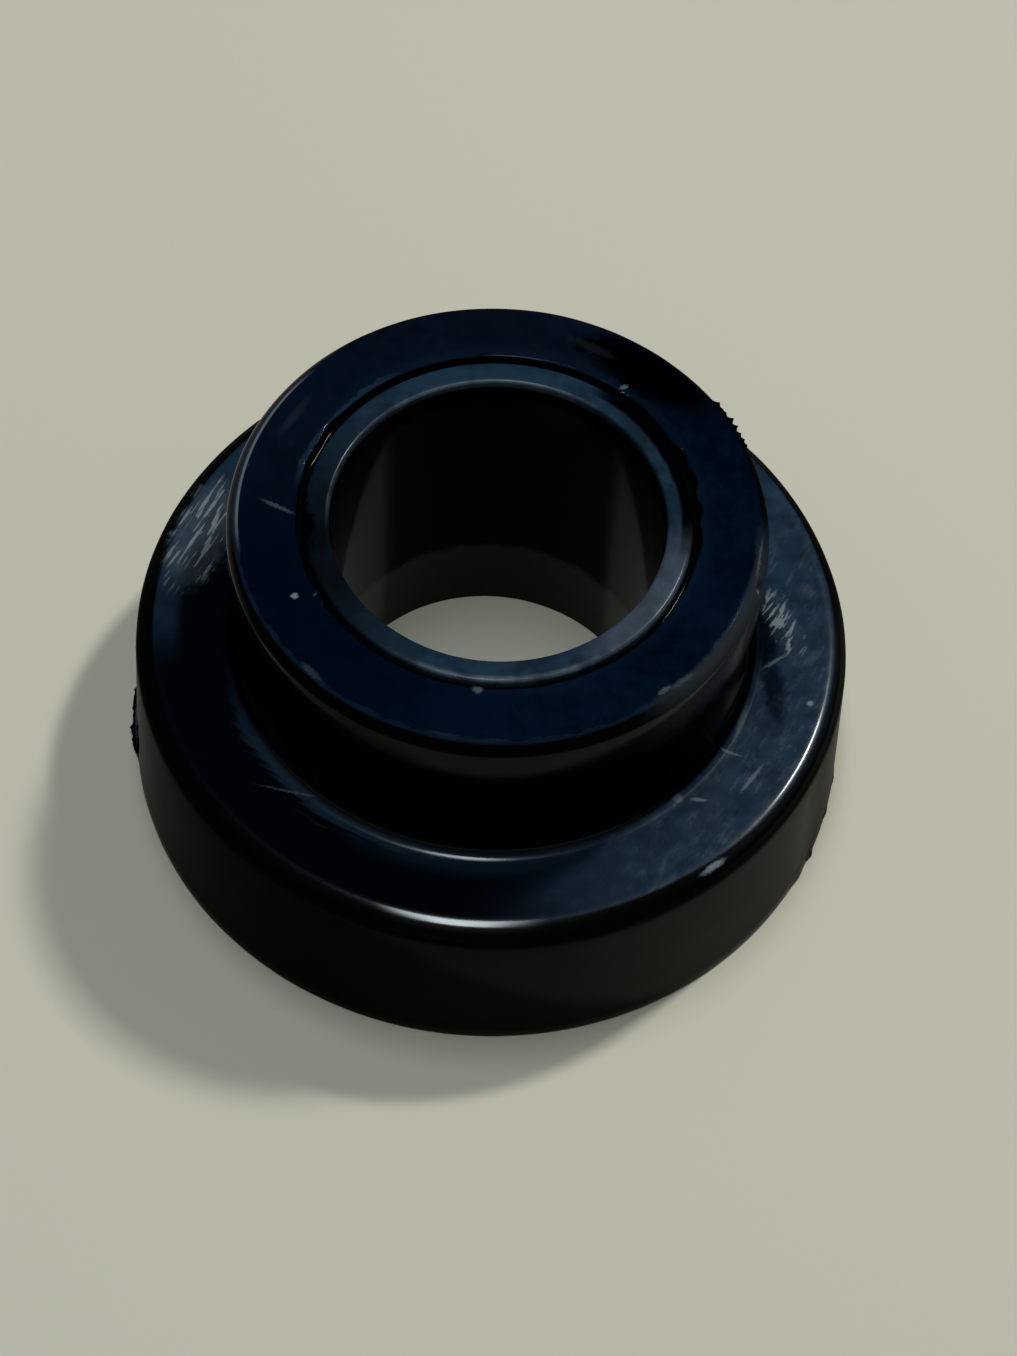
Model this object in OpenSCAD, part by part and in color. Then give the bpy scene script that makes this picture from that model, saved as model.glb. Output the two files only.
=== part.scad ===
// Sway bar link bushing: one moulded rubber piece with a flange, a hub and a
// straight bore. It stands on the flange's open face, with the hub upwards.
// Millimetres, +Z up, origin at the centre of the flange's open face.

/* [Flange] */
// Diameter of the flange at its open face
flange_d = 50; // [44:0.5:60]
// Thickness of the flange
flange_h = 13; // [8:0.5:18]
// Angle by which the flange's side leans in, so that it leaves the mould
flange_draft = 2.2; // [0:0.1:4]
// Radius of the flange's rounded upper edge
flange_edge_r = 1.4; // [0.4:0.1:2.5]

/* [Hub] */
// Outer diameter of the hub
hub_d = 36; // [31:0.5:40]
// Height of the hub above the flange
hub_h = 13; // [8:0.5:20]
// Radius of the hub's rounded upper edge
hub_edge_r = 1.0; // [0.3:0.1:1.6]
// Radius of the fillet where the hub meets the flange
root_r = 0.8; // [0.2:0.1:1]

/* [Bore and sealing lip] */
// Diameter of the bore
bore_d = 22.4; // [18:0.2:26]
// Width of the sealing lip around the mouth of the bore
lip_w = 1.7; // [1:0.1:2.4]
// Radius of the sealing lip's two rounded edges
lip_edge_r = 0.25; // [0.1:0.05:0.5]
// Width of the groove that parts the lip from the hub's end face
groove_w = 0.5; // [0.3:0.1:0.8]
// Depth of that groove
groove_depth = 0.8; // [0.3:0.1:1.5]

/* [Hidden] */
rubber_black = [0.055, 0.06, 0.07];
round_steps = 160;
arc_steps = 10;

flange_r = flange_d / 2;
hub_r = hub_d / 2;
bore_r = bore_d / 2;
lip_r = bore_r + lip_w;
groove_r = lip_r + groove_w;
total_h = flange_h + hub_h;

// Each rounded edge is held to what its wall can take.
flange_edge = min(flange_edge_r, flange_h / 2);
hub_edge = min(hub_edge_r, (hub_r - groove_r) / 2, hub_h / 3);
root = min(root_r, hub_h / 3);
lip_edge = min(lip_edge_r, lip_w / 3);

// Where the centre of the flange's edge lies, so that the round runs into both
// the leaning side and the flat upper face.
flange_edge_x = flange_r
    - (flange_edge + (flange_h - flange_edge) * sin(flange_draft)) / cos(flange_draft);

// Points of an arc around [x, z], from one angle to another.
function arc(x, z, r, from, to) = [
    for (i = [0:arc_steps])
        let (a = from + (to - from) * i / arc_steps)
            [x + r * cos(a), z + r * sin(a)]
];

// Half section of the bushing, from the bore's foot around the outside and
// back over the hub's end face, the groove and the lip.
function half_section() = concat(
    [[bore_r, 0], [flange_r, 0]],
    arc(flange_edge_x, flange_h - flange_edge, flange_edge, flange_draft, 90),
    arc(hub_r + root, flange_h + root, root, 270, 180),
    arc(hub_r - hub_edge, total_h - hub_edge, hub_edge, 0, 90),
    [[groove_r, total_h]],
    arc(lip_r + groove_w / 2, total_h - groove_depth + groove_w / 2, groove_w / 2, 0, -180),
    arc(lip_r - lip_edge, total_h - lip_edge, lip_edge, 0, 90),
    arc(bore_r + lip_edge, total_h - lip_edge, lip_edge, 90, 180)
);

module bushing() {
    color(rubber_black)
        rotate_extrude($fn = round_steps)
            polygon(half_section());
}

bushing();
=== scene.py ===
"""Sway bar link bushing: one black rubber moulding, scuffed and flashed, on a pale floor."""
import math
import random

import bmesh
import bpy
from mathutils import Matrix, Vector, kdtree


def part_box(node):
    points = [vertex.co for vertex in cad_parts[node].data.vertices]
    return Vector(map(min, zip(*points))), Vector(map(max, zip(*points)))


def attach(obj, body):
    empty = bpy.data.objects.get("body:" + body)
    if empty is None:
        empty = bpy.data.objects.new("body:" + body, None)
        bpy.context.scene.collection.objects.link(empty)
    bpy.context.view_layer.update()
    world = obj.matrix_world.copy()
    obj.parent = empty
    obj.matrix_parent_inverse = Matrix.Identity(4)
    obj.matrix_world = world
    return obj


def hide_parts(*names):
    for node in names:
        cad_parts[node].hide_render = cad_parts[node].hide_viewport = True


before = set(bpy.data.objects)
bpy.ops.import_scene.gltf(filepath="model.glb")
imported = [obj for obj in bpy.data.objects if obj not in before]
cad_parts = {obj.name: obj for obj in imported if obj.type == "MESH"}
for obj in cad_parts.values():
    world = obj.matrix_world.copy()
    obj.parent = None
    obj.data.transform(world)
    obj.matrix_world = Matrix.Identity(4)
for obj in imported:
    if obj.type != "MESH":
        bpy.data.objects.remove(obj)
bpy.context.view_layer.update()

MM = 0.001
LOW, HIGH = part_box("bushing")

# Sizes of the moulding, in millimetres. The overall ones come from the frame.
FOOT_R = (HIGH.x - LOW.x) / 2 / MM
TOTAL_H = HIGH.z / MM
FLANGE_H = 13.0
FLANGE_TOP_R = 24.5
FLANGE_EDGE_R = 1.4
HUB_R = 18.0
HUB_EDGE_R = 1.0
ROOT_R = 0.8
BORE_R = 11.2
LIP_R = 12.9
LIP_EDGE_R = 0.25
GROOVE_R = 13.4
GROOVE_DEPTH = 0.8
GROOVE_FOOT_R = (GROOVE_R - LIP_R) * 0.48
SHARP_EDGE_R = 0.12
WAVE_LENGTH = 6.0
WAVE_HEIGHT = 0.05
# Points nearer than these are taken to be in one place, and are merged.
SAME_PLACE = 0.01
WELD_DISTANCE = 0.002
# Steps of the full turn.
TURN_STEPS = 540
# Faces that meet at less than this many degrees are shaded as one smooth surface.
SMOOTH_BELOW = 40

# Wear that is part of the mesh. Azimuths are in degrees from +X, and sizes in millimetres.
WEAR_SEED = 7
# Sectors with a finer mesh: azimuth, half angle, span of radius, span of height.
TORN_RIM_SECTOR = (31.5, 9, (HUB_R - 1.3, HUB_R + 0.2), (TOTAL_H - 1.8, TOTAL_H + 0.2))
CHIPPED_LIP_SECTOR = (-172, 10, (LIP_R - 0.7, GROOVE_R + 0.8), (TOTAL_H - 1.0, TOTAL_H + 0.2))
FOOT_FLASH_SECTOR = (-178, 8, (FOOT_R - 0.8, FOOT_R + 0.1), (-0.1, 1.6))
# Spans that chance draws from, for the outward pull, the upward pull and the reach.
TOOTH = ((0.15, 0.4), (-0.05, 0.1), (0.4, 0.7))
CHIP = ((-0.28, -0.05), (-0.2, -0.02), (0.35, 0.7))
TATTER = ((0.05, 0.2), (-0.1, 0.1), (0.4, 0.8))
# The rim's torn teeth, and those of the flash on the foot: count, first azimuth, step, jitter.
RIM_TEETH = (8, 25.0, 1.8, 0.4)
FOOT_TATTERS = (7, -171.0, -1.9, 0.6)
TATTER_HEIGHTS = (0.1, 0.8)
# A dent in the rim: azimuth, radius, height, outward, upward, reach.
RIM_DENT = (-12.7, HUB_R - 0.05, TOTAL_H - 0.7, -0.35, -0.15, 0.7)
# A tab across the groove in front, in the same order.
GROOVE_TAB = (-92.6, GROOVE_R, TOTAL_H - 0.05, -0.4, 0.0, 0.6)
# The groove's outer wall wanders on the right and behind: azimuth, outward, reach.
GROOVE_WANDER = (
    (47, 0.12, 1.6), (34, -0.22, 1.6), (28, 0.25, 1.4), (24, 0.1, 1.0), (18, 0.3, 1.6),
    (12, -0.2, 1.2), (7, 0.22, 1.3), (3.5, -0.1, 0.8), (-4, 0.15, 1.5),
    (150, 0.2, 2.0), (163, 0.15, 1.3))
# Azimuths of the chips along the lip's outer edge.
LIP_CHIPS = (-184, -180.5, -178, -175.5, -173, -170, -167.5, -165)
# Flash that stands up from the groove's outer edge: azimuth, upward.
GROOVE_FLASH = (
    (159.6, 0.22), (163.6, 0.2), (-149.5, 0.22), (-146.8, 0.15), (30.2, 0.12), (54.7, 0.16))
GROOVE_FLASH_INWARD = -0.15
GROOVE_FLASH_REACH = 0.5
# The lump of flash on the foot's left: azimuth, outward, reach.
FOOT_LUMP = (
    (-171.5, 0.25, 1.3), (-174.5, 0.35, 1.5), (-177.5, 0.3, 1.4), (-180.5, 0.35, 1.4),
    (-183.0, 0.2, 1.2))
FOOT_LUMP_HEIGHTS = (0.2, 0.6)
# Bits of flash on the foot's right.
FOOT_BITS = (-26, -21, -13, -6, 1.4, 3.0, 7.5)
FOOT_BIT_HEIGHT = 0.15
FOOT_BIT_OUTWARD = (0.06, 0.16)
FOOT_BIT_REACH = (0.5, 1.2)


# ---------------------------------------------------------------- modelling

def draw_half_section(corners):
    """Draws the half section as a chain of edges in the XZ plane, corner by corner."""
    bpy.ops.object.select_all(action="DESELECT")
    bpy.ops.mesh.primitive_plane_add(size=MM)
    piece = bpy.context.object
    bpy.ops.object.mode_set(mode="EDIT")
    bpy.ops.mesh.merge(type="CENTER")
    bpy.ops.transform.translate(value=(corners[0][0] * MM, 0, corners[0][1] * MM))
    for (r0, z0), (r1, z1) in zip(corners, corners[1:]):
        step = ((r1 - r0) * MM, 0, (z1 - z0) * MM)
        bpy.ops.mesh.extrude_region_move(TRANSFORM_OT_translate={"value": step})
    select_points(piece, corners[0], corners[-1])
    bpy.ops.mesh.edge_face_add()
    return piece


def select_points(piece, *points):
    """Selects the outline's vertices that lie on the given points, in millimetres."""
    bpy.ops.mesh.select_mode(type="VERT")
    bpy.ops.mesh.select_all(action="DESELECT")
    mesh = bmesh.from_edit_mesh(piece.data)
    for vertex in mesh.verts:
        place = vertex.co.xz / MM
        vertex.select_set(any((place - Vector(p)).length < SAME_PLACE for p in points))
    mesh.select_flush_mode()
    bmesh.update_edit_mesh(piece.data)


def select_straight(piece, start, end):
    """Selects the longest edge of the outline that lies on the line between two corners."""
    bpy.ops.mesh.select_mode(type="EDGE")
    bpy.ops.mesh.select_all(action="DESELECT")
    mesh = bmesh.from_edit_mesh(piece.data)
    line = Vector(end) - Vector(start)
    on_line = []
    for edge in mesh.edges:
        middle = (edge.verts[0].co + edge.verts[1].co).xz / 2 / MM - Vector(start)
        share = middle.dot(line) / line.length_squared
        if 0 < share < 1 and (middle - line * share).length < SAME_PLACE:
            on_line.append(edge)
    max(on_line, key=bmesh.types.BMEdge.calc_length).select_set(True)
    bmesh.update_edit_mesh(piece.data)


def turn_outline():
    """Spins the closed outline round the bore's axis into the solid moulding."""
    bpy.ops.mesh.select_mode(type="VERT")
    bpy.ops.mesh.select_all(action="SELECT")
    bpy.ops.mesh.spin(steps=TURN_STEPS, angle=math.tau, center=(0, 0, 0), axis=(0, 0, 1))
    bpy.ops.mesh.select_all(action="SELECT")
    bpy.ops.mesh.remove_doubles(threshold=WELD_DISTANCE * MM)
    bpy.ops.mesh.normals_make_consistent(inside=False)


def make_moulding():
    """Draws the half section, rounds its corners, divides it, turns it and wears it."""
    bore_foot = (BORE_R, 0)
    foot = (FOOT_R, 0)
    flange_corner = (FLANGE_TOP_R, FLANGE_H)
    root = (HUB_R, FLANGE_H)
    hub_corner = (HUB_R, TOTAL_H)
    groove_mouth = (GROOVE_R, TOTAL_H)
    groove_outer_foot = (GROOVE_R, TOTAL_H - GROOVE_DEPTH)
    groove_inner_foot = (LIP_R, TOTAL_H - GROOVE_DEPTH)
    lip_corner = (LIP_R, TOTAL_H)
    bore_mouth = (BORE_R, TOTAL_H)
    piece = draw_half_section([
        bore_foot, foot, flange_corner, root, hub_corner, groove_mouth,
        groove_outer_foot, groove_inner_foot, lip_corner, bore_mouth])
    for corner, radius, steps in (
            (foot, SHARP_EDGE_R, 2), (flange_corner, FLANGE_EDGE_R, 10), (root, ROOT_R, 6),
            (hub_corner, HUB_EDGE_R, 9), (groove_mouth, SHARP_EDGE_R, 2),
            (groove_outer_foot, GROOVE_FOOT_R, 3), (groove_inner_foot, GROOVE_FOOT_R, 3),
            (lip_corner, LIP_EDGE_R, 4), (bore_mouth, LIP_EDGE_R, 4)):
        select_points(piece, corner)
        bpy.ops.mesh.bevel(offset=radius * MM, affect="VERTICES", segments=steps)
    for start, end, cuts in (
            (bore_foot, foot, 5), (foot, flange_corner, 12), (flange_corner, root, 13),
            (root, hub_corner, 10), (hub_corner, groove_mouth, 11), (lip_corner, bore_mouth, 3),
            (bore_mouth, bore_foot, 9)):
        select_straight(piece, start, end)
        bpy.ops.mesh.subdivide(number_cuts=cuts)
    turn_outline()
    wear_the_edges(piece)
    bpy.ops.object.mode_set(mode="OBJECT")
    make_uneven(piece)
    piece.name = "bushing_rubber"
    return piece


def on_bushing(azimuth, r, z):
    """A point in metres from an azimuth in degrees and a radius and height in millimetres."""
    a = math.radians(azimuth)
    return Vector((r * math.cos(a), r * math.sin(a), z)) * MM


def divide_sector(piece, azimuth, half_angle, radii, heights):
    """Halves the faces of one sector, so that small torn shapes have points to be made of."""
    mesh = bmesh.from_edit_mesh(piece.data)
    middle = on_bushing(azimuth, 1, 0).normalized()
    near = math.cos(math.radians(half_angle))
    bpy.ops.mesh.select_all(action="DESELECT")
    for vertex in mesh.verts:
        r, z = vertex.co.xy.length / MM, vertex.co.z / MM
        if radii[0] < r < radii[1] and heights[0] < z < heights[1]:
            vertex.select_set(vertex.co.xy.normalized().dot(middle.xy) > near)
    mesh.select_flush_mode()
    bmesh.update_edit_mesh(piece.data)
    bpy.ops.mesh.subdivide(number_cuts=1)


class Puller:
    """Drags bits of the surface about, in edit mode, with a soft fall-off."""

    def __init__(self, piece):
        self.piece = piece
        mesh = bmesh.from_edit_mesh(piece.data)
        self.points = kdtree.KDTree(len(mesh.verts))
        for index, vertex in enumerate(mesh.verts):
            self.points.insert(vertex.co, index)
        self.points.balance()

    def pull(self, azimuth, r, z, outward, upward, reach, falloff="SMOOTH"):
        """Drags the vertex nearest a place, and its neighbours within reach, in millimetres."""
        place = on_bushing(azimuth, r, z)
        mesh = bmesh.from_edit_mesh(self.piece.data)
        mesh.verts.ensure_lookup_table()
        bpy.ops.mesh.select_all(action="DESELECT")
        mesh.verts[self.points.find(place)[1]].select_set(True)
        mesh.select_flush_mode()
        bmesh.update_edit_mesh(self.piece.data)
        step = on_bushing(azimuth, outward, upward)
        bpy.ops.transform.translate(
            value=step, use_proportional_edit=True, use_proportional_connected=True,
            proportional_edit_falloff=falloff, proportional_size=reach * MM)


def wear_the_edges(piece):
    """Torn flash, chips, dents and a wandering groove."""
    for sector in (TORN_RIM_SECTOR, CHIPPED_LIP_SECTOR, FOOT_FLASH_SECTOR):
        divide_sector(piece, *sector)
    puller = Puller(piece)
    chance = random.Random(WEAR_SEED)
    groove_edge = (GROOVE_R, TOTAL_H - 0.05)
    foot_edge_r = FOOT_R - 0.05

    # The rim's torn flash, a row of small teeth, and the dent beside it.
    teeth, first, step, jitter = RIM_TEETH
    for tooth in range(teeth):
        azimuth = first + tooth * step + chance.uniform(-jitter, jitter)
        drag = [chance.uniform(*span) for span in TOOTH]
        puller.pull(azimuth, HUB_R - 0.1, TOTAL_H - 0.6, *drag, "SHARP")
    puller.pull(*RIM_DENT)

    for azimuth, outward, reach in GROOVE_WANDER:
        puller.pull(azimuth, *groove_edge, outward, 0.0, reach)
    puller.pull(*GROOVE_TAB, "SHARP")

    # Chips and flash along both sides of the groove.
    for azimuth in LIP_CHIPS:
        drag = [chance.uniform(*span) for span in CHIP]
        puller.pull(azimuth, LIP_R, TOTAL_H - 0.1, *drag, "SHARP")
    for azimuth, upward in GROOVE_FLASH:
        puller.pull(azimuth, *groove_edge, GROOVE_FLASH_INWARD, upward, GROOVE_FLASH_REACH, "SHARP")

    # Flash left on the foot: a rough lump on the left and a few bits on the right.
    for azimuth, outward, reach in FOOT_LUMP:
        puller.pull(azimuth, foot_edge_r, chance.uniform(*FOOT_LUMP_HEIGHTS), outward, 0.0, reach)
    tatters, first, step, jitter = FOOT_TATTERS
    for tatter in range(tatters):
        azimuth = first + tatter * step + chance.uniform(-jitter, jitter)
        height = chance.uniform(*TATTER_HEIGHTS)
        drag = [chance.uniform(*span) for span in TATTER]
        puller.pull(azimuth, foot_edge_r, height, *drag, "SHARP")
    for azimuth in FOOT_BITS:
        outward = chance.uniform(*FOOT_BIT_OUTWARD)
        reach = chance.uniform(*FOOT_BIT_REACH)
        puller.pull(azimuth, foot_edge_r, FOOT_BIT_HEIGHT, outward, 0.0, reach)


def make_uneven(piece):
    """A very slight waviness over the whole moulding."""
    clouds = bpy.data.textures.new("moulding_waves", "CLOUDS")
    clouds.noise_scale = WAVE_LENGTH * MM
    displace = piece.modifiers.new("moulding_waves", "DISPLACE")
    displace.texture = clouds
    displace.texture_coords = "LOCAL"
    displace.strength = WAVE_HEIGHT * MM
    bpy.ops.object.modifier_apply(modifier=displace.name)


# ---------------------------------------------------------------- materials

class Value:
    """A shader number. Python arithmetic on it adds Math nodes."""

    def __init__(self, tree, socket):
        self.tree = tree
        self.socket = socket

    def math(self, operation, *others):
        return self.tree.add("ShaderNodeMath", {"operation": operation}, (self, *others))

    def __add__(self, other):
        return self.math("ADD", other)

    __radd__ = __add__

    def __sub__(self, other):
        return self.math("SUBTRACT", other)

    def __rsub__(self, other):
        return self.tree.add("ShaderNodeMath", {"operation": "SUBTRACT"}, (other, self))

    def __mul__(self, other):
        return self.math("MULTIPLY", other)

    __rmul__ = __mul__

    def __truediv__(self, other):
        return self.math("DIVIDE", other)

    def __or__(self, other):
        """The larger of two."""
        return self.math("MAXIMUM", other)


class Tree:
    """A material's or world's nodes, added one at a time by add()."""

    def __init__(self, owner):
        owner.use_nodes = True
        self.nodes = owner.node_tree.nodes
        self.links = owner.node_tree.links
        self.nodes.clear()

    def add(self, kind, settings=None, sockets=None, output=0):
        """Adds a node: its settings first, then its sockets by name or by place."""
        node = self.nodes.new(kind)
        for name, value in (settings or {}).items():
            setattr(node, name, value)
        pairs = sockets.items() if isinstance(sockets, dict) else enumerate(sockets or ())
        for key, value in pairs:
            if isinstance(value, Value):
                self.links.new(value.socket, node.inputs[key])
            else:
                node.inputs[key].default_value = value
        return Value(self, node.outputs[output]) if node.outputs else node

    def split(self, vector):
        """The three parts of a vector."""
        first = self.add("ShaderNodeSeparateXYZ", None, (vector,))
        return first, *(Value(self, first.socket.node.outputs[i]) for i in (1, 2))

    def rise(self, value, low, high):
        """0 below low, 1 above high, and a smooth step between them."""
        return self.add("ShaderNodeMapRange", {"interpolation_type": "SMOOTHSTEP"},
                        {"Value": value, "From Min": low, "From Max": high})

    def grain(self, place, scale, detail=2.0, roughness=0.5, output=0):
        """Noise from 0 to 1 with about scale lumps to a millimetre; output 1 is in colour."""
        return self.add("ShaderNodeTexNoise", None,
                        {"Vector": place, "Scale": scale, "Detail": detail,
                         "Roughness": roughness}, output)

    def blend(self, factor, first, second):
        """A colour between two, by a factor."""
        return self.add("ShaderNodeMix", {"data_type": "RGBA"},
                        {0: factor, 6: first, 7: second}, output=2)

    def ellipse(self, place, centre, size, angle):
        """Coordinates in which an ellipse becomes the unit circle."""
        return self.add("ShaderNodeMapping", {"vector_type": "TEXTURE"},
                        {"Vector": place, "Location": (*centre, 0),
                         "Rotation": (0, 0, math.radians(angle)), "Scale": (*size, 1)})

    def patch(self, flat, centre, size, angle, soft):
        """1 inside an ellipse seen from above, fading to 0 across its edge."""
        away = self.add("ShaderNodeVectorMath", {"operation": "LENGTH"},
                        (self.ellipse(flat, centre, size, angle),), output=1)
        return 1 - self.rise(away, 1 - soft, 1 + soft)

    def facing(self, flat, r, azimuth, none, full):
        """0 where the side faces none degrees from an azimuth, rising to 1 at full degrees."""
        a = math.radians(azimuth)
        along = self.add("ShaderNodeVectorMath", {"operation": "DOT_PRODUCT"},
                         (flat, (math.cos(a), math.sin(a), 0)), output=1)
        return self.rise(along / r, math.cos(math.radians(none)), math.cos(math.radians(full)))


BLACK = (0.0010, 0.0011, 0.0011, 1)
NAVY = (0.0001, 0.0026, 0.0095, 1)
# A bluish bloom, used mostly as painted light and painted highlights on the flange, lip, root, rim
# and end face.
BLUE_BLOOM_AND_PAINTED_LIGHT = (0.0090, 0.0240, 0.0430, 1)
# Grey of the scuffs, used also for painted highlights on the lip and a painted reflection on the
# hub rim.
SCUFF_AND_HIGHLIGHT_GREY = (0.1200, 0.1420, 0.1580, 1)
# Dust, which also stands in for a painted reflection of the lit floor on the flange's right wall.
DUST_AND_REFLECTION_GREY = (0.0140, 0.0140, 0.0130, 1)
# A grey film on the back of the end face, used also for a painted reflection of the lit floor on
# the hub's wall.
GREY_FILM_AND_REFLECTION = (0.0190, 0.0220, 0.0250, 1)
# Colour of the dark patches, and of the painted shade on the lip.
DULL = (0.0002, 0.0003, 0.0008, 1)
FLOOR_COLOUR = (0.55, 0.515, 0.41, 1)
ROOM_COLOUR = (0.07, 0.075, 0.08, 1)
HIGH_BACK_COLOUR = (0.015, 0.05, 0.11, 1)

# Noises: lumps to a millimetre, detail, roughness.
BROAD_GRAIN = (0.16, 3.0)
MIDDLING_GRAIN = (0.9, 3.0)
FINE_GRAIN = (6.0, 2.0, 0.6)
RAGGED_GRAIN = (1.1, 3.0, 0.6)
# Noise drawn out along an angle from +X: angle, stretch along and across, then the same.
STREAKS = {
    "front_highlight_streaks": (-25, (4.0, 0.6), 1.3),
    "left_scuffs": (66, (4.0, 0.5), 1.7),
    "right_scuffs": (62, (2.4, 0.5), 1.9),
    "smears": (62, (2.2, 0.7), 1.5, 3.0, 0.65),
}
# How far the ragged and the nicked outlines stray, in millimetres.
RAGGED_REACH = 0.8
NICKED_REACH = 0.15
# The painted highlight in front of the root reaches out the second of these two numbers, in
# millimetres, for each whole unit by which the noise of its streaks is below the first.
HIGHLIGHT_STREAK_NOISE = 0.78
HIGHLIGHT_STREAK_REACH = 2.5
# How softly the outline of a small mark fades, as a share of its half lengths.
MARK_SOFTNESS = 0.5

# Spans over which a mask rises from 0 to 1, or falls back where the name has _end_. They are in
# millimetres of radius, height or depth. The first four are spans of a noise instead.
SPANS = {
    "mottle": (0.4, 0.62),
    "left_scuffs": (0.53, 0.62),
    "right_scuffs": (0.5, 0.6),
    "smears": (0.5, 0.68),
    "end_face_z": (TOTAL_H - 0.2, TOTAL_H - 0.08),
    "end_face_r": (GROOVE_R - 0.15, GROOVE_R + 0.1),
    "fringe_z": (TOTAL_H - 0.2, TOTAL_H - 0.12),
    "fringe_r": (HUB_R - 0.8, HUB_R - 0.7),
    "lip_z": (TOTAL_H - 0.7, TOTAL_H - 0.4),
    "lip_end_r": (LIP_R - 0.05, LIP_R + 0.2),
    "lip_outer_edge_r": (LIP_R - 0.55, LIP_R - 0.3),
    "lip_inner_edge_end_r": (BORE_R + 0.15, BORE_R + 0.3),
    "lip_painted_shade_r": (LIP_R - 0.9, LIP_R - 0.6),
    "groove_lip_r": (GROOVE_R, GROOVE_R + 0.1),
    "groove_lip_end_r": (GROOVE_R + 0.3, GROOVE_R + 0.5),
    "inner_haze_end_r": (GROOVE_R + 0.3, GROOVE_R + 1.2),
    "outside_r": (HUB_R - 1.0, HUB_R - 0.5),
    "rim_z": (TOTAL_H - 1.15, TOTAL_H - 0.8),
    "rim_r": (HUB_R - 1.2, HUB_R - 0.95),
    "right_rim_z": (TOTAL_H - 0.9, TOTAL_H - 0.5),
    "right_rim_r": (HUB_R - 1.05, HUB_R - 0.75),
    "left_rim_z": (TOTAL_H - 1.1, TOTAL_H - 0.9),
    "left_rim_r": (HUB_R - 0.85, HUB_R - 0.78),
    "left_rim_end_r": (HUB_R - 0.7, HUB_R - 0.58),
    "rim_marks_z": (TOTAL_H - 1.4, TOTAL_H - 1.0),
    "rim_flash_z": (TOTAL_H - 3.0, TOTAL_H - 2.0),
    "rim_flash_r": (HUB_R + 0.03, HUB_R + 0.08),
    "hub_side_z": (FLANGE_H + 0.8, FLANGE_H + 1.2),
    "hub_side_end_r": (HUB_R + 0.3, HUB_R + 0.4),
    "hub_reflection_band_z": (TOTAL_H - 5.5, TOTAL_H - 2.5),
    "hub_top_z": (TOTAL_H - 4.0, TOTAL_H - 3.0),
    "hub_matt_end_z": (TOTAL_H - 5.0, TOTAL_H - 3.0),
    "root_z": (FLANGE_H - 0.1, FLANGE_H - 0.05),
    "root_end_z": (FLANGE_H + 0.4, FLANGE_H + 0.9),
    "root_end_r": (HUB_R + 0.7, HUB_R + 1.0),
    "root_painted_highlight_end_r": (HUB_R + 0.9, HUB_R + 2.4),
    "root_streaky_highlight_end_r": (HUB_R + 0.2, HUB_R + 0.9),
    "flange_top_z": (FLANGE_H - 0.4, FLANGE_H - 0.15),
    "flange_top_end_z": (FLANGE_H + 0.05, FLANGE_H + 0.3),
    "flange_top_end_r": (FLANGE_TOP_R - 1.3, FLANGE_TOP_R - 1.05),
    "flange_left_edge_r": (FLANGE_TOP_R - 3.3, FLANGE_TOP_R - 2.3),
    "flange_edge_z": (FLANGE_H - 1.0, FLANGE_H - 0.5),
    "flange_edge_r": (FLANGE_TOP_R - 1.6, FLANGE_TOP_R - 1.3),
    "right_edge_r": (FLANGE_TOP_R - 1.2, FLANGE_TOP_R - 1.0),
    "under_edge_z": (FLANGE_H - 1.8, FLANGE_H - 1.0),
    "under_edge_end_z": (FLANGE_H - 0.4, FLANGE_H - 0.2),
    "under_edge_r": (FLANGE_TOP_R - 0.9, FLANGE_TOP_R - 0.7),
    "flange_side_end_z": (FLANGE_H - 0.7, FLANGE_H - 0.3),
    "flange_side_r": (FLANGE_TOP_R - 0.7, FLANGE_TOP_R - 0.4),
    "foot_dust_and_reflection_r": (FOOT_R - 0.6, FOOT_R - 0.4),
    "foot_flash_r": (FOOT_R + 0.03, FOOT_R + 0.1),
    "bore_end_r": (BORE_R + 0.05, BORE_R + 0.2),
    "bore_foot_end_z": (6.9, 7.9),
    "bore_sides_end_y": (7.4, 8.6),
}

# Sides of the bushing: an azimuth, how many degrees from it a mask is 0 and is full, and how
# strong it is when full. That of flange_rim is in millimetres.
SIDES = {
    "flange_rim": (5, 60, 30, 0.35),
    "lit_flange": (41, 134, 100, 1),
    "flange_left_edge": (165, 28, 14, 1),
    "lip_lit_side": (17, 170, 135, 0.9),
    "root_painted_highlight": (-82, 40, 18, 0.55),
    "root_streaky_highlight": (-120, 48, 12, 1),
    "haze_and_painted_light": (-20, 115, 45, 0.108),
    "inner_haze": (20, 150, 90, 0.2),
    "fringe": (-110, 105, 85, 1),
    "groove_lip": (147, 28, 16, 0.7),
    "right_rim": (-20, 27, 12, 1),
    "left_rim_painted_reflection": (166, 28, 16, 0.75),
    "smears": (-20, 62, 30, 1),
    "lip_outer_edge": (-65, 60, 30, 1),
    "lip_inner_edge": (120, 70, 45, 1),
    "lip_painted_highlight": (-30, 34, 12, 1),
    "lip_painted_shade": (25, 42, 28, 1),
    "foot_dust_and_reflection": (-25, 60, 20, 1),
    "hub_reflection_band": (-27, 31, 12, 1),
    "back_film": (115, 85, 45, 1),
    "near_edge": (-92, 15, 3, 0.93),
    "near_edge_ends": (-98, 45, 20, 0.07),
    "right_edge": (-22, 36, 8, 1),
    "root_shine": (-98, 58, 26, 0.7),
    "back_walls": (90, 62, 40, 1),
    "shaded_walls": (2, 37, 19, 0.8),
    "left_walls": (180, 95, 60, 0.65),
    "right_walls": (10, 70, 35, 0.5),
    "hub_right": (-28, 48, 25, 0.75),
    "lit_rim": (170, 45, 25, 1),
    "lit_root": (-98, 75, 45, 1),
}

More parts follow.
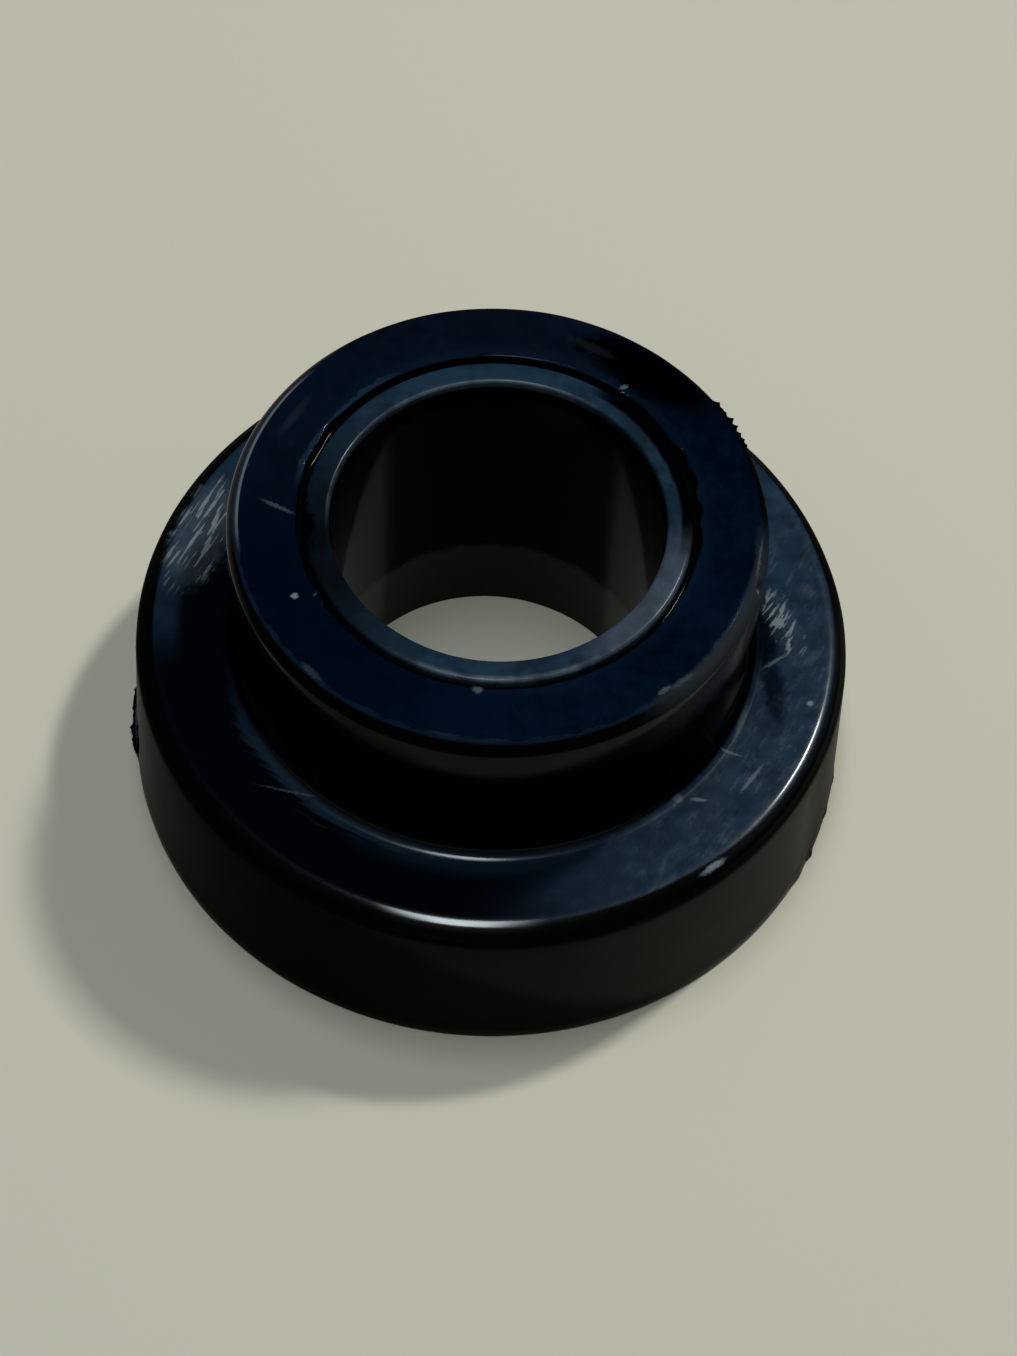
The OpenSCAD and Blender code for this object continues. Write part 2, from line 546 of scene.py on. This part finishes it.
# Patches seen from above: centre and half lengths in millimetres, angle in degrees, softness,
# strength.
PATCHES = {
    "left_scuffs": ((-20.6, 6.2), (4.6, 1.9), 74, 0.3, 1),
    "right_scuffs": ((20.0, 1.7), (2.9, 0.95), -68, 0.3, 1),
    "dark_end": ((9.6, 12.7), (4.9, 1.9), -32, 0.3, 1),
    "dark_end_tip": ((6.0, 14.6), (1.6, 0.8), -10, 0.3, 1),
    "dark_flange_front": ((19.5, -3.8), (0.7, 2.5), 8, 0.6, 0.75),
    "dark_flange_back": ((18.8, 0.4), (1.1, 2.9), 0, 0.5, 0.85),
    "dark_lip_left": ((-12.5, -1.6), (0.35, 1.3), 8, 0.3, 1),
}

# Small light marks: centre and half lengths in millimetres, angle in degrees, strength.
END_MARKS = (
    ((-12.9, -7.2), (0.22, 0.2), 0, 1.0), ((-14.6, -0.2), (1.1, 0.14), -24, 0.25),
    ((-14.1, 7.3), (1.6, 0.3), 62, 0.04), ((11.4, -12.7), (0.5, 0.16), 42, 0.35),
    ((12.5, -11.9), (0.9, 0.16), 42, 0.2), ((-11.4, -12.9), (0.8, 0.2), -42, 0.15),
    ((7.9, 11.4), (0.3, 0.15), 30, 0.5), ((5.6, 14.6), (1.6, 0.35), -25, 0.035),
    ((-0.6, -13.5), (0.3, 0.3), 0, 0.4))
FLANGE_MARKS = (
    ((22.0, -4.7), (0.2, 0.2), 0, 1.0), ((16.5, -9.0), (0.8, 0.1), -17, 0.5),
    ((18.1, -11.0), (1.2, 0.14), 57, 0.5), ((13.1, -12.9), (0.35, 0.3), 0, 0.4),
    ((14.6, -12.9), (0.5, 0.13), 0, 0.6), ((17.3, -6.6), (0.2, 1.2), -15, 0.3),
    ((19.6, -1.4), (1.0, 0.12), 38, 0.4), ((15.7, -17.9), (0.9, 0.18), 41, 1.0),
    ((-12.6, -14.3), (2.0, 0.08), -10, 0.35), ((17.0, -2.9), (0.3, 0.9), 0, 0.4))
RIM_MARKS = (((17.45, -4.0), (0.3, 0.13), -15, 0.7), ((17.35, -1.9), (0.07, 1.5), -6, 0.3))

# How glossy a coat some parts have, and how matt some others are.
GLOSS = {"lip": 0.1, "bore_sides": 0.34, "hub_top": 0.06}
MATT = {"bore": 0.5, "rim": 0.95, "under_edge": 0.85, "root": 0.8}


class Skin:
    """Where a point of the surface lies on the bushing, and the noises that vary it."""

    def __init__(self, tree):
        self.tree = tree
        metres = tree.add("ShaderNodeTexCoord", output=3)
        self.place = tree.add("ShaderNodeVectorMath", {"operation": "SCALE"},
                              {0: metres, "Scale": 1 / MM})
        x, self.y, self.z = tree.split(self.place)
        self.flat = tree.add("ShaderNodeCombineXYZ", None, (x, self.y, 0.0))
        self.r = tree.add("ShaderNodeVectorMath", {"operation": "LENGTH"}, (self.flat,), output=1)
        self.broad = tree.grain(self.place, *BROAD_GRAIN)
        self.middling = tree.grain(self.place, *MIDDLING_GRAIN)
        self.fine = tree.grain(self.place, *FINE_GRAIN)
        self.mottle = self.rise("mottle", self.broad * 0.6 + self.middling * 0.4)
        self.ragged = self.stray(RAGGED_GRAIN, RAGGED_REACH)
        self.nicked = self.stray(FINE_GRAIN, NICKED_REACH)

    def stray(self, grain, reach):
        """Flat coordinates moved about by a noise, reach millimetres either way."""
        noise = self.tree.grain(self.place, *grain, output=1)
        moved = self.tree.add("ShaderNodeVectorMath", {"operation": "MULTIPLY_ADD"},
                              (noise, (2 * reach, 2 * reach, 0), self.flat))
        return self.tree.add("ShaderNodeVectorMath", {"operation": "SUBTRACT"},
                             (moved, (reach, reach, 0)))

    def vary(self, base, broad=0, middling=0, mottle=0):
        """A strength that rises from its base with shares of the noises."""
        for noise, share in ((self.broad, broad), (self.middling, middling), (self.mottle, mottle)):
            if share:
                base = base + noise * share
        return base

    def uneven(self, value, reach):
        """A radius or height blurred by a noise, so that a limit on it isn't a clean line."""
        return value + (self.middling - 0.5) * reach

    def rise(self, name, value):
        """0 below and 1 above one of the SPANS."""
        return self.tree.rise(value, *SPANS[name])

    def fall(self, name, value):
        """1 below and 0 above one of the SPANS."""
        return 1 - self.rise(name, value)

    def side(self, name):
        """One of the SIDES."""
        *lobe, strength = SIDES[name]
        return self.tree.facing(self.flat, self.r, *lobe) * strength

    def streaks(self, name):
        """One of the STREAKS."""
        angle, stretch, *grain = STREAKS[name]
        return self.tree.grain(self.tree.ellipse(self.place, (0, 0), stretch, angle), *grain)

    def patch(self, name):
        """One of the PATCHES, with a ragged outline."""
        *ellipse, strength = PATCHES[name]
        return self.tree.patch(self.ragged, *ellipse) * strength

    def marks(self, table):
        """A table of small marks, with nicked outlines."""
        found = 0
        for *ellipse, strength in table:
            found = self.tree.patch(self.nicked, *ellipse, MARK_SOFTNESS) * strength | found
        return found


class Parts:
    """Masks that are 1 on one part of the moulding and 0 elsewhere."""

    def __init__(self, skin):
        r, z = skin.r, skin.z
        outside = skin.rise("outside_r", r)
        self.end_face = skin.rise("end_face_z", z) * skin.rise("end_face_r", r)
        self.lip = skin.rise("lip_z", z) * skin.fall("lip_end_r", r)
        flange_top = outside * skin.rise("flange_top_z", z) * skin.fall("flange_top_end_z", z)
        self.flange_top = flange_top * skin.fall("flange_top_end_r", r - skin.side("flange_rim"))
        self.flange_edge = skin.rise("flange_edge_z", z) * skin.rise("flange_edge_r", r)
        self.flange_side = skin.fall("flange_side_end_z", z) * skin.rise("flange_side_r", r)
        root = outside * skin.fall("root_end_r", r) * skin.fall("root_end_z", z)
        self.root = root * skin.rise("root_z", z)
        self.hub_side = outside * skin.fall("hub_side_end_r", r) * skin.rise("hub_side_z", z)
        self.bore = skin.fall("bore_end_r", r)
        self.bore_foot = self.bore * skin.fall("bore_foot_end_z", z + skin.middling * 1.5)
        self.bore_sides = self.bore * skin.fall("bore_sides_end_y", skin.y.math("ABSOLUTE"))
        rim_flash = skin.rise("rim_flash_r", r) * skin.rise("rim_flash_z", z)
        self.flash = skin.rise("foot_flash_r", r) | rim_flash
        left_edge = skin.rise("flange_left_edge_r", r) * skin.side("flange_left_edge")
        self.lit_flange = self.flange_top * (skin.side("lit_flange") | left_edge)
        dark_flange = skin.patch("dark_flange_front") | skin.patch("dark_flange_back")
        self.dark_flange = self.flange_top * dark_flange


def find_bloom_and_painted_light(skin, parts):
    """Bluish bloom that is mostly painted light: a painted lit side on the flange's right and back
    and on the lip, and a painted highlight along the root in front.
    """
    bloom_and_painted_light = parts.lit_flange * skin.vary(0.45, middling=0.35, mottle=0.3)
    bloom_and_painted_light = bloom_and_painted_light | parts.lip * (0.1 + skin.side("lip_lit_side")) * skin.vary(0.55, mottle=0.6)
    # A painted highlight along the root in front, and a streaky painted highlight beside it.
    root_painted_highlight = skin.fall("root_painted_highlight_end_r", skin.r) * skin.side("root_painted_highlight")
    streaks = skin.streaks("front_highlight_streaks")
    in_front = skin.side("root_streaky_highlight")
    streaky_r = skin.r + in_front * (streaks - HIGHLIGHT_STREAK_NOISE) * HIGHLIGHT_STREAK_REACH
    root_streaky_highlight = skin.fall("root_streaky_highlight_end_r", streaky_r) * in_front * (0.5 + streaks * 0.9)
    return bloom_and_painted_light | parts.flange_top * (root_painted_highlight | root_streaky_highlight)


def find_haze_and_highlights(skin, parts):
    """A thin bluish haze on the end face with painted light that makes it stronger towards the
    front right, and painted highlights along the hub rim and the groove's outer edge.
    """
    haze_and_painted_light = skin.mottle * (0.012 + skin.side("haze_and_painted_light"))
    inner_haze = skin.fall("inner_haze_end_r", skin.uneven(skin.r, 2.0)) * skin.side("inner_haze")
    haze_and_painted_light = parts.end_face * (haze_and_painted_light | inner_haze * skin.vary(0.5, mottle=0.5))
    # A worn fringe on the rim's front and left that is also a painted highlight.
    fringe = skin.rise("fringe_z", skin.z) * skin.rise("fringe_r", skin.uneven(skin.r, 0.9))
    fringe = fringe * skin.side("fringe") * skin.vary(0.1, middling=0.4)
    # A painted highlight along the rim's right.
    rim = skin.rise("right_rim_z", skin.z) * skin.rise("right_rim_r", skin.uneven(skin.r, 0.8))
    rim = rim * skin.side("right_rim") * skin.vary(0.3, mottle=0.5)
    # A painted highlight along the groove's outer edge at the back left.
    groove_lip = parts.end_face * skin.rise("groove_lip_r", skin.r) * skin.side("groove_lip")
    groove_lip = groove_lip * skin.fall("groove_lip_end_r", skin.uneven(skin.r, 0.8))
    return haze_and_painted_light | fringe | rim | groove_lip


def find_scuffs_and_highlights(skin, parts):
    """Grey scuffs, smears, light marks and scuffed flange edges, with painted highlights on the lip
    and a painted reflection along the hub rim's left.
    """
    streaks = skin.rise("left_scuffs", skin.streaks("left_scuffs")) * 1.2
    scuffs_and_highlights = skin.patch("left_scuffs") * (streaks | skin.vary(0.1, middling=0.15))
    streaks = skin.rise("right_scuffs", skin.streaks("right_scuffs"))
    scuffs_and_highlights = scuffs_and_highlights | skin.patch("right_scuffs") * (streaks | 0.06)
    smears = skin.rise("smears", skin.streaks("smears")) * skin.side("smears")
    smears = smears * parts.lit_flange * (1 - parts.dark_flange)
    scuffs_and_highlights = scuffs_and_highlights | smears * skin.vary(0.04, mottle=0.11) | skin.marks(FLANGE_MARKS)
    scuffs_and_highlights = scuffs_and_highlights * (parts.flange_top | parts.flange_edge)
    scuffs_and_highlights = scuffs_and_highlights | parts.end_face * skin.marks(END_MARKS)
    scuffs_and_highlights = scuffs_and_highlights | skin.rise("rim_marks_z", skin.z) * skin.marks(RIM_MARKS)
    # Painted highlights along the lip's edges and on its side towards the front right.
    lip_edge_highlights = (skin.rise("lip_outer_edge_r", skin.r) * skin.side("lip_outer_edge")
                 | skin.fall("lip_inner_edge_end_r", skin.r) * skin.side("lip_inner_edge"))
    lip_painted_highlight = skin.side("lip_painted_highlight") * skin.vary(0.1, middling=0.25)
    scuffs_and_highlights = scuffs_and_highlights | parts.lip * (lip_edge_highlights * skin.vary(0.1, mottle=0.3) | lip_painted_highlight)
    # A thin painted reflection along the hub rim's left.
    left_rim_painted_reflection = skin.rise("left_rim_r", skin.r) * (1 - skin.rise("left_rim_end_r", skin.r) * 0.88)
    return scuffs_and_highlights | left_rim_painted_reflection * skin.rise("left_rim_z", skin.z) * skin.side("left_rim_painted_reflection")


def find_dark_and_shaded_patches(skin, parts):
    """Dark patches without bloom on the end face and the flange, a chip on the lip, and painted
    shade on the lip's outer part at the right and back.
    """
    dark_end = skin.patch("dark_end") | skin.patch("dark_end_tip")
    # Painted shade on the lip's outer part towards the right and back.
    shaded_and_chipped_lip = skin.rise("lip_painted_shade_r", skin.uneven(skin.r, 0.4)) * skin.side("lip_painted_shade")
    shaded_and_chipped_lip = shaded_and_chipped_lip | skin.patch("dark_lip_left")
    return parts.end_face * dark_end | parts.dark_flange | parts.lip * shaded_and_chipped_lip


def mix_colour(skin, parts, bluish, scuffs_and_highlights, dark_and_shaded_patches):
    """Black rubber with its films, painted light, painted highlights, painted reflections and
    painted shade laid over one another.
    """
    clean = (parts.end_face | parts.flange_top * 0.4) * skin.vary(0.5, mottle=0.2, broad=0.5)
    # Dust on the flange's right wall, also a painted reflection of the lit floor there.
    foot_dust_and_reflection = skin.rise("foot_dust_and_reflection_r", skin.r) * skin.side("foot_dust_and_reflection") * skin.broad
    # A painted reflection of the lit floor: a grey band high on the hub's wall at the right.
    hub_reflection_band = parts.hub_side * skin.rise("hub_reflection_band_z", skin.uneven(skin.z, 2))
    back_film = parts.end_face * skin.side("back_film") * skin.vary(0.02, middling=0.12)
    colour = BLACK
    for share, film in (
            (clean, NAVY), (bluish, BLUE_BLOOM_AND_PAINTED_LIGHT), (foot_dust_and_reflection, DUST_AND_REFLECTION_GREY),
            (hub_reflection_band * skin.side("hub_reflection_band"), GREY_FILM_AND_REFLECTION), (back_film, GREY_FILM_AND_REFLECTION),
            (dark_and_shaded_patches, DULL), (scuffs_and_highlights, SCUFF_AND_HIGHLIGHT_GREY)):
        colour = skin.tree.blend(share, colour, film)
    return colour


def find_polish(skin, parts):
    """Where a glossy coat lies over the rubber."""
    edge = skin.side("near_edge") + skin.side("near_edge_ends")
    edge = edge | skin.rise("right_edge_r", skin.r) * skin.side("right_edge")
    bore_film = parts.bore_foot * skin.vary(0.17, middling=0.08)
    bore_sides = parts.bore_sides * GLOSS["bore_sides"] * (1 + parts.bore_foot * 0.5)
    hub_top = parts.hub_side * skin.rise("hub_top_z", skin.z) * GLOSS["hub_top"]
    back_walls = (parts.flange_side | parts.hub_side) * skin.side("back_walls")
    polish = parts.flange_edge * edge | parts.root * skin.side("root_shine")
    polish = polish | parts.lip * GLOSS["lip"] | back_walls * skin.vary(0.1, broad=0.25)
    return polish | bore_film | bore_sides | hub_top


def find_matt(skin, parts):
    """Where the rubber shines less: the walls in the shade, and the undersides of edges."""
    walls = skin.side("left_walls") | skin.side("right_walls") | skin.side("shaded_walls")
    matt = parts.flange_side * walls | parts.hub_side * skin.side("shaded_walls")
    bore = parts.bore * (1 - parts.bore_foot) * MATT["bore"]
    matt = matt | bore - parts.bore_sides * GLOSS["bore_sides"]
    rim = skin.rise("rim_r", skin.r) * skin.rise("rim_z", skin.z) * (1 - skin.side("lit_rim"))
    under_edge = skin.fall("under_edge_end_z", skin.z) * skin.rise("under_edge_z", skin.z)
    under_edge = under_edge * skin.rise("under_edge_r", skin.r)
    matt = matt | rim * MATT["rim"] | under_edge * MATT["under_edge"]
    matt = matt | parts.root * (1 - skin.side("lit_root")) * MATT["root"]
    hub_right = parts.hub_side * skin.fall("hub_matt_end_z", skin.z) * skin.side("hub_right")
    return matt | hub_right


def make_rubber():
    """Black moulded rubber: clean glossy walls, a bluish bloom with painted light and highlights on
    top, grey scuffs, and painted shade and reflections.
    """
    material = bpy.data.materials.new("black_moulded_rubber")
    tree = Tree(material)
    skin = Skin(tree)
    parts = Parts(skin)
    bloom_and_painted_light = find_bloom_and_painted_light(skin, parts)
    scuffs_and_highlights = find_scuffs_and_highlights(skin, parts)
    dark_and_shaded_patches = find_dark_and_shaded_patches(skin, parts)
    colour = mix_colour(skin, parts, bloom_and_painted_light | find_haze_and_highlights(skin, parts), scuffs_and_highlights, dark_and_shaded_patches)
    roughness = skin.vary(0.04, broad=0.03, middling=0.02) + (parts.flange_top | parts.lip) * 0.1
    roughness = roughness + parts.flange_edge * 0.18 + scuffs_and_highlights * 0.3
    bump = tree.add("ShaderNodeBump", None,
                    {"Strength": 0.15, "Distance": 0.02 * MM, "Height": skin.fine})
    body = tree.add("ShaderNodeBsdfPrincipled", None,
                    {"Base Color": colour, "Roughness": roughness, "IOR": 1.5,
                     "Specular IOR Level": 0.02, "Coat Weight": find_polish(skin, parts),
                     "Coat Roughness": 0.16, "Normal": bump})
    satin = tree.add("ShaderNodeBsdfPrincipled", None,
                     {"Base Color": colour, "Roughness": 0.34, "IOR": 1.5,
                      "Specular IOR Level": 0.3, "Normal": bump})
    matt = tree.add("ShaderNodeBsdfPrincipled", None,
                    {"Base Color": colour, "Roughness": 0.8, "IOR": 1.5,
                     "Specular IOR Level": 0.0})
    sheen = bloom_and_painted_light * (1 - dark_and_shaded_patches) * 0.2 + scuffs_and_highlights * 0.4
    mixed = tree.add("ShaderNodeMixShader", None, (sheen, body, satin))
    dull = find_matt(skin, parts) | dark_and_shaded_patches | parts.flash
    mixed = tree.add("ShaderNodeMixShader", None, (dull, mixed, matt))
    tree.add("ShaderNodeOutputMaterial", None, {"Surface": mixed})
    return material


def make_floor_material():
    """Plain warm pale grey floor."""
    material = bpy.data.materials.new("pale_floor")
    tree = Tree(material)
    shader = tree.add("ShaderNodeBsdfPrincipled", None,
                      {"Base Color": FLOOR_COLOUR, "Roughness": 0.9, "Specular IOR Level": 0.2})
    tree.add("ShaderNodeOutputMaterial", None, {"Surface": shader})
    return material


# ---------------------------------------------------------------- stage

# In metres.
FLOOR_SIZE = 4
CEILING_LAMP_SHIFT = 0.03
# The direction in which the surroundings turn navy, and how nearly a ray must point that way.
HIGH_BACK = (0, 0.54, 0.84)
HIGH_BACK_SPAN = (0.6, 0.95)

# Where the camera stands, in metres and degrees: looking along +Y and down, a little rolled.
CAMERA_DISTANCE = 0.2757
CAMERA_ELEVATION = 57.288
CAMERA_ROLL = 3.586
AIM_RIGHT = -0.00155
AIM_DOWN = 0.00343
# Its focal length and the height of its picture, both in pixels.
FOCAL_PIXELS = 3842.0
FRAME_HEIGHT = 1356
# The longer side of its sensor, in millimetres.
SENSOR = 36.0
NEAR_CLIP = 0.01


def toward(azimuth, elevation):
    """The unit vector at an azimuth from +X and an elevation, in degrees."""
    a, e = math.radians(azimuth), math.radians(elevation)
    return Vector((math.cos(e) * math.cos(a), math.cos(e) * math.sin(a), math.sin(e)))


def add_lamp(name, azimuth, elevation, distance, width, length, radiance, colour):
    """A rectangular lamp that faces the bushing, with a given brightness of its face."""
    data = bpy.data.lights.new(name, "AREA")
    data.shape = "RECTANGLE"
    data.size = width
    data.size_y = length
    data.energy = radiance * math.pi * width * length
    data.color = colour
    lamp = bpy.data.objects.new(name, data)
    bpy.context.scene.collection.objects.link(lamp)
    direction = toward(azimuth, elevation)
    lamp.location = direction * distance
    lamp.rotation_euler = direction.to_track_quat("Z", "Y").to_euler()
    return lamp


def make_floor():
    """A wide flat floor at height 0."""
    bpy.ops.object.select_all(action="DESELECT")
    bpy.ops.mesh.primitive_plane_add(size=FLOOR_SIZE, location=(0, 0, 0))
    floor = bpy.context.object
    floor.name = "pale_floor"
    floor.data.materials.append(make_floor_material())


def make_world():
    """Dim cool surroundings, with a navy patch high up behind."""
    world = bpy.data.worlds.new("dim_cool_room")
    bpy.context.scene.world = world
    tree = Tree(world)
    direction = tree.add("ShaderNodeTexCoord", output=0)
    toward_patch = tree.add("ShaderNodeVectorMath", {"operation": "DOT_PRODUCT"},
                            (direction, HIGH_BACK), output=1)
    colour = tree.blend(tree.rise(toward_patch, *HIGH_BACK_SPAN), ROOM_COLOUR, HIGH_BACK_COLOUR)
    background = tree.add("ShaderNodeBackground", None, {"Color": colour, "Strength": 1.0})
    tree.add("ShaderNodeOutputWorld", None, {"Surface": background})


def make_camera():
    """The camera, backed off from the bushing and turned down towards it."""
    data = bpy.data.cameras.new("camera")
    data.sensor_width = SENSOR
    data.lens = FOCAL_PIXELS / FRAME_HEIGHT * SENSOR
    data.clip_start = NEAR_CLIP
    camera = bpy.data.objects.new("camera", data)
    bpy.context.scene.collection.objects.link(camera)
    turn = (Matrix.Rotation(math.radians(90 - CAMERA_ELEVATION), 4, "X")
            @ Matrix.Rotation(math.radians(CAMERA_ROLL), 4, "Z"))
    back_off = Matrix.Translation(Vector((-AIM_RIGHT, AIM_DOWN, CAMERA_DISTANCE)))
    camera.matrix_world = turn @ back_off
    bpy.context.scene.camera = camera


bushing = make_moulding()
bushing.data.materials.append(make_rubber())
bpy.ops.object.select_all(action="DESELECT")
bushing.select_set(True)
bpy.context.view_layer.objects.active = bushing
bpy.ops.object.shade_smooth_by_angle(angle=math.radians(SMOOTH_BELOW))
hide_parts("bushing")
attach(bushing, "root")

make_floor()
make_world()
add_lamp("window", azimuth=43, elevation=56, distance=1.0, width=0.08, length=0.08,
         radiance=270.0, colour=(1.0, 0.99, 0.97))
ceiling_lamp = add_lamp("ceiling_lamp", azimuth=-90, elevation=89, distance=0.8, width=0.125,
                        length=0.42, radiance=17.0, colour=(0.90, 1.0, 1.05))
ceiling_lamp.location.x -= CEILING_LAMP_SHIFT
make_camera()
bpy.context.scene.view_settings.view_transform = "Standard"
